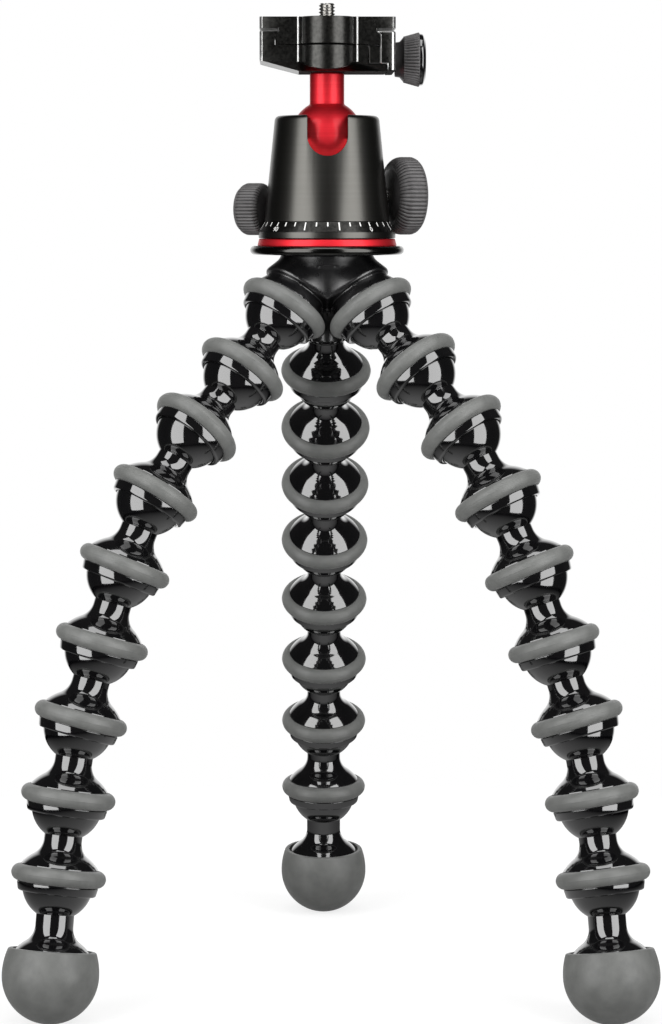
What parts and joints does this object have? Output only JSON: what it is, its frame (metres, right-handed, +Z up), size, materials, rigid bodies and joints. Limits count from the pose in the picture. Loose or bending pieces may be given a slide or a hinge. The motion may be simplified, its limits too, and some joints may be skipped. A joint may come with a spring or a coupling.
{
  "type": "flexible leg tripod",
  "caption": "Table tripod with bendable ball-and-socket legs, rubber feet, and a panning ball head that carries a quick-release clamp and plate with a camera screw.",
  "frame": {"origin": "on the floor under the head axis", "axes": "+Z up along the head axis, the rear leg towards +Y, the two front legs towards -Y"},
  "size_m": [0.2489, 0.2335, 0.3857],
  "materials": {
    "gloss_black": "gloss",
    "grip_rubber": "satin",
    "red_anodised": "anodised",
    "gunmetal": "anodised",
    "black_anodised": "anodised",
    "knob_grip": "matte",
    "steel": "machined",
    "brass": "machined",
    "acetal": "moulded",
    "pad_rubber": "ribbed"
  },
  "bodies": {
    "hub": {"hub": "gloss_black", "hub_grip_rings": "grip_rubber", "head_stud": "steel", "pan_base": "gunmetal", "trim_ring": "red_anodised", "bearing_washer": "acetal", "brake_drum": "steel"},
    "head": {"head_housing": "gunmetal", "scale_ring": "black_anodised", "closing_plug": "black_anodised", "ball_seat": "acetal"},
    "main_lock": {"main_lock_knob": "knob_grip", "main_lock_screw": "steel"},
    "lock_plunger": {"lock_plunger": "brass"},
    "pan_lock": {"pan_lock_knob": "knob_grip", "pan_lock_screw": "steel"},
    "pan_brake_shoe": {"pan_brake_shoe": "brass"},
    "ball": {"ball_and_stem": "red_anodised"},
    "clamp": {"clamp_body": "black_anodised", "platform_screw": "steel", "guide_pins": "steel"},
    "clamp_jaw": {"clamp_jaw": "black_anodised"},
    "clamp_knob": {"clamp_knob": "knob_grip", "clamp_knob_cap": "gloss_black", "clamp_screw": "steel"},
    "plate": {"quick_release_plate": "black_anodised", "plate_pad": "pad_rubber"},
    "camera_screw": {"camera_screw": "steel"},
    "left_leg_link_1": {"left_leg_link_1": "gloss_black"},
    "left_leg_link_2": {"left_leg_link_2": "gloss_black"},
    "left_leg_link_3": {"left_leg_link_3": "gloss_black"},
    "left_leg_link_4": {"left_leg_link_4": "gloss_black"},
    "left_leg_link_5": {"left_leg_link_5": "gloss_black"},
    "left_leg_link_6": {"left_leg_link_6": "gloss_black"},
    "left_leg_link_7": {"left_leg_link_7": "gloss_black"},
    "left_leg_link_8": {"left_leg_link_8": "gloss_black"},
    "left_foot": {"left_foot_stem": "gloss_black", "left_rubber_foot": "grip_rubber"},
    "right_leg_link_1": {"right_leg_link_1": "gloss_black"},
    "right_leg_link_2": {"right_leg_link_2": "gloss_black"},
    "right_leg_link_3": {"right_leg_link_3": "gloss_black"},
    "right_leg_link_4": {"right_leg_link_4": "gloss_black"},
    "right_leg_link_5": {"right_leg_link_5": "gloss_black"},
    "right_leg_link_6": {"right_leg_link_6": "gloss_black"},
    "right_leg_link_7": {"right_leg_link_7": "gloss_black"},
    "right_leg_link_8": {"right_leg_link_8": "gloss_black"},
    "right_foot": {"right_foot_stem": "gloss_black", "right_rubber_foot": "grip_rubber"},
    "rear_leg_link_1": {"rear_leg_link_1": "gloss_black"},
    "rear_leg_link_2": {"rear_leg_link_2": "gloss_black"},
    "rear_leg_link_3": {"rear_leg_link_3": "gloss_black"},
    "rear_leg_link_4": {"rear_leg_link_4": "gloss_black"},
    "rear_leg_link_5": {"rear_leg_link_5": "gloss_black"},
    "rear_leg_link_6": {"rear_leg_link_6": "gloss_black"},
    "rear_leg_link_7": {"rear_leg_link_7": "gloss_black"},
    "rear_leg_link_8": {"rear_leg_link_8": "gloss_black"},
    "rear_foot": {"rear_foot_stem": "gloss_black", "rear_rubber_foot": "grip_rubber"}
  },
  "joints": [
    {"name": "pan", "type": "hinge", "parent": "hub", "child": "head", "pos_m": [0, 0, 0.28874], "axis": [0, 0, 1], "continuous": true},
    {"name": "ball_tilt", "type": "hinge", "parent": "head", "child": "ball", "pos_m": [0, 0, 0.33454], "axis": [1, 0, 0], "range_deg": [-25, 90]},
    {"name": "platform_spin", "type": "hinge", "parent": "ball", "child": "clamp", "pos_m": [0, 0, 0.33454], "axis": [0, 0, 1], "continuous": true},
    {"name": "main_lock_turn", "type": "hinge", "parent": "head", "child": "main_lock", "pos_m": [0, 0, 0.31154], "axis": [0.9397, 0.342, 0], "range_deg": [0, 270]},
    {"name": "plunger_slide", "type": "slide", "parent": "head", "child": "lock_plunger", "axis": [0.9397, 0.342, 0], "range_m": [0, 0.00075]},
    {"name": "pan_lock_turn", "type": "hinge", "parent": "head", "child": "pan_lock", "pos_m": [0, 0, 0.30634], "axis": [-0.9063, 0.4226, 0], "range_deg": [0, 270]},
    {"name": "brake_shoe_slide", "type": "slide", "parent": "head", "child": "pan_brake_shoe", "axis": [-0.9063, 0.4226, 0], "range_m": [0, 0.00075]},
    {"name": "jaw_slide", "type": "slide", "parent": "clamp", "child": "clamp_jaw", "axis": [1, 0, 0], "range_m": [0, 0.0032]},
    {"name": "clamp_knob_turn", "type": "hinge", "parent": "clamp_jaw", "child": "clamp_knob", "pos_m": [0, 0, 0.36414], "axis": [1, 0, 0], "range_deg": [0, 1440]},
    {"name": "plate_slide", "type": "slide", "parent": "clamp", "child": "plate", "axis": [0, 1, 0], "range_m": [-0.02, 0.02]},
    {"name": "camera_screw_turn", "type": "hinge", "parent": "plate", "child": "camera_screw", "pos_m": [0, 0, 0.37974], "axis": [0, 0, 1], "continuous": true},
    {"name": "left_leg_joint_1", "type": "hinge", "parent": "hub", "child": "left_leg_link_1", "pos_m": [-0.01853, -0.0107, 0.26534], "axis": [0.5446, -0.8387, 0], "range_deg": [-32, 37.8]},
    {"name": "left_leg_joint_2", "type": "hinge", "parent": "left_leg_link_1", "child": "left_leg_link_2", "pos_m": [-0.03471, -0.02121, 0.24223], "axis": [-0.5862, -0.3954, 0.7071], "range_deg": [-35.3, 34]},
    {"name": "left_leg_joint_3", "type": "hinge", "parent": "left_leg_link_2", "child": "left_leg_link_3", "pos_m": [-0.05236, -0.03311, 0.22095], "axis": [-0.4305, 0.9026, 0], "range_deg": [-23.8, 45.2]},
    {"name": "left_leg_joint_4", "type": "hinge", "parent": "left_leg_link_3", "child": "left_leg_link_4", "pos_m": [-0.06755, -0.04035, 0.19599], "axis": [0.8755, 0.2845, -0.3907], "range_deg": [-37.7, 29.2]},
    {"name": "left_leg_joint_5", "type": "hinge", "parent": "left_leg_link_4", "child": "left_leg_link_5", "pos_m": [-0.07873, -0.04399, 0.16828], "axis": [0.3173, -0.9483, 0], "range_deg": [-40.9, 29]},
    {"name": "left_leg_joint_6", "type": "hinge", "parent": "left_leg_link_5", "child": "left_leg_link_6", "pos_m": [-0.08708, -0.04678, 0.1395], "axis": [-0.8631, -0.4117, 0.2924], "range_deg": [-37, 32.9]},
    {"name": "left_leg_joint_7", "type": "hinge", "parent": "left_leg_link_6", "child": "left_leg_link_7", "pos_m": [-0.09502, -0.05057, 0.11071], "axis": [-0.6088, 0.7934, 0], "range_deg": [-28.6, 40.9]},
    {"name": "left_leg_joint_8", "type": "hinge", "parent": "left_leg_link_7", "child": "left_leg_link_8", "pos_m": [-0.09937, -0.05391, 0.08112], "axis": [0.5976, 0.7788, -0.1908], "range_deg": [-32.2, 37.6]},
    {"name": "left_leg_joint_9", "type": "hinge", "parent": "left_leg_link_8", "child": "left_foot", "pos_m": [-0.10287, -0.05846, 0.05157], "axis": [0.9205, -0.3907, 0], "range_deg": [-34.5, 35.2]},
    {"name": "right_leg_joint_1", "type": "hinge", "parent": "hub", "child": "right_leg_link_1", "pos_m": [0.01853, -0.0107, 0.26534], "axis": [0.5299, 0.848, 0], "range_deg": [-28.9, 40.9]},
    {"name": "right_leg_joint_2", "type": "hinge", "parent": "right_leg_link_1", "child": "right_leg_link_2", "pos_m": [0.03594, -0.02158, 0.24332], "axis": [0.6469, -0.3887, 0.6561], "range_deg": [-35.6, 34.2]},
    {"name": "right_leg_joint_3", "type": "hinge", "parent": "right_leg_link_2", "child": "right_leg_link_3", "pos_m": [0.05287, -0.03175, 0.22061], "axis": [-0.4462, -0.8949, 0], "range_deg": [-23.9, 45.8]},
    {"name": "right_leg_joint_4", "type": "hinge", "parent": "right_leg_link_3", "child": "right_leg_link_4", "pos_m": [0.06634, -0.03846, 0.19454], "axis": [-0.8376, 0.3556, -0.4147], "range_deg": [-32.8, 36.3]},
    {"name": "right_leg_joint_5", "type": "hinge", "parent": "right_leg_link_4", "child": "right_leg_link_5", "pos_m": [0.07783, -0.04334, 0.16715], "axis": [0.4147, 0.91, 0], "range_deg": [-40.4, 29.5]},
    {"name": "right_leg_joint_6", "type": "hinge", "parent": "right_leg_link_5", "child": "right_leg_link_6", "pos_m": [0.08674, -0.04741, 0.13869], "axis": [0.8188, -0.4728, 0.3256], "range_deg": [-33.2, 36.7]},
    {"name": "right_leg_joint_7", "type": "hinge", "parent": "right_leg_link_6", "child": "right_leg_link_7", "pos_m": [0.09523, -0.0523, 0.11023], "axis": [-0.6494, -0.7604, 0], "range_deg": [-29.1, 40.5]},
    {"name": "right_leg_joint_8", "type": "hinge", "parent": "right_leg_link_7", "child": "right_leg_link_8", "pos_m": [0.10038, -0.0567, 0.0809], "axis": [-0.5739, 0.7898, -0.2164], "range_deg": [-38, 31.9]},
    {"name": "right_leg_joint_9", "type": "hinge", "parent": "right_leg_link_8", "child": "right_foot", "pos_m": [0.10421, -0.06197, 0.05151], "axis": [0.9304, 0.3665, 0], "range_deg": [-35.4, 34.2]},
    {"name": "rear_leg_joint_1", "type": "hinge", "parent": "hub", "child": "rear_leg_link_1", "pos_m": [0, 0.0214, 0.26534], "axis": [-1, 0, 0], "range_deg": [-43.8, 26.1]},
    {"name": "rear_leg_joint_2", "type": "hinge", "parent": "rear_leg_link_1", "child": "rear_leg_link_2", "pos_m": [0, 0.03562, 0.23881], "axis": [0, 0.7986, 0.6018], "range_deg": [-34, 34]},
    {"name": "rear_leg_joint_3", "type": "hinge", "parent": "rear_leg_link_2", "child": "rear_leg_link_3", "pos_m": [0, 0.05373, 0.21477], "axis": [1, 0, 0], "range_deg": [-33.4, 36.4]},
    {"name": "rear_leg_joint_4", "type": "hinge", "parent": "rear_leg_link_3", "child": "rear_leg_link_4", "pos_m": [0, 0.07121, 0.19026], "axis": [0, -0.8387, -0.5446], "range_deg": [-34.9, 34.9]},
    {"name": "rear_leg_joint_5", "type": "hinge", "parent": "rear_leg_link_4", "child": "rear_leg_link_5", "pos_m": [0, 0.08761, 0.16502], "axis": [-1, 0, 0], "range_deg": [-40.9, 28.9]},
    {"name": "rear_leg_joint_6", "type": "hinge", "parent": "rear_leg_link_5", "child": "rear_leg_link_6", "pos_m": [0, 0.10127, 0.1382], "axis": [0, 0.9171, 0.3987], "range_deg": [-34.8, 34.8]},
    {"name": "rear_leg_joint_7", "type": "hinge", "parent": "rear_leg_link_6", "child": "rear_leg_link_7", "pos_m": [0, 0.11327, 0.1106], "axis": [1, 0, 0], "range_deg": [-29.9, 39.9]},
    {"name": "rear_leg_joint_8", "type": "hinge", "parent": "rear_leg_link_7", "child": "rear_leg_link_8", "pos_m": [0, 0.12283, 0.08205], "axis": [0, -0.9945, -0.1045], "range_deg": [-32.9, 32.9]},
    {"name": "rear_leg_joint_9", "type": "hinge", "parent": "rear_leg_link_8", "child": "rear_foot", "pos_m": [0, 0.12597, 0.05212], "axis": [-1, 0, 0], "range_deg": [-36.9, 32.9]}
  ],
  "couplings": [
    {"joint": "plunger_slide", "follows": "main_lock_turn", "m_per_rad": 0.00015915},
    {"joint": "brake_shoe_slide", "follows": "pan_lock_turn", "m_per_rad": 0.00015915},
    {"joint": "jaw_slide", "follows": "clamp_knob_turn", "m_per_rad": 0.00012732}
  ]
}
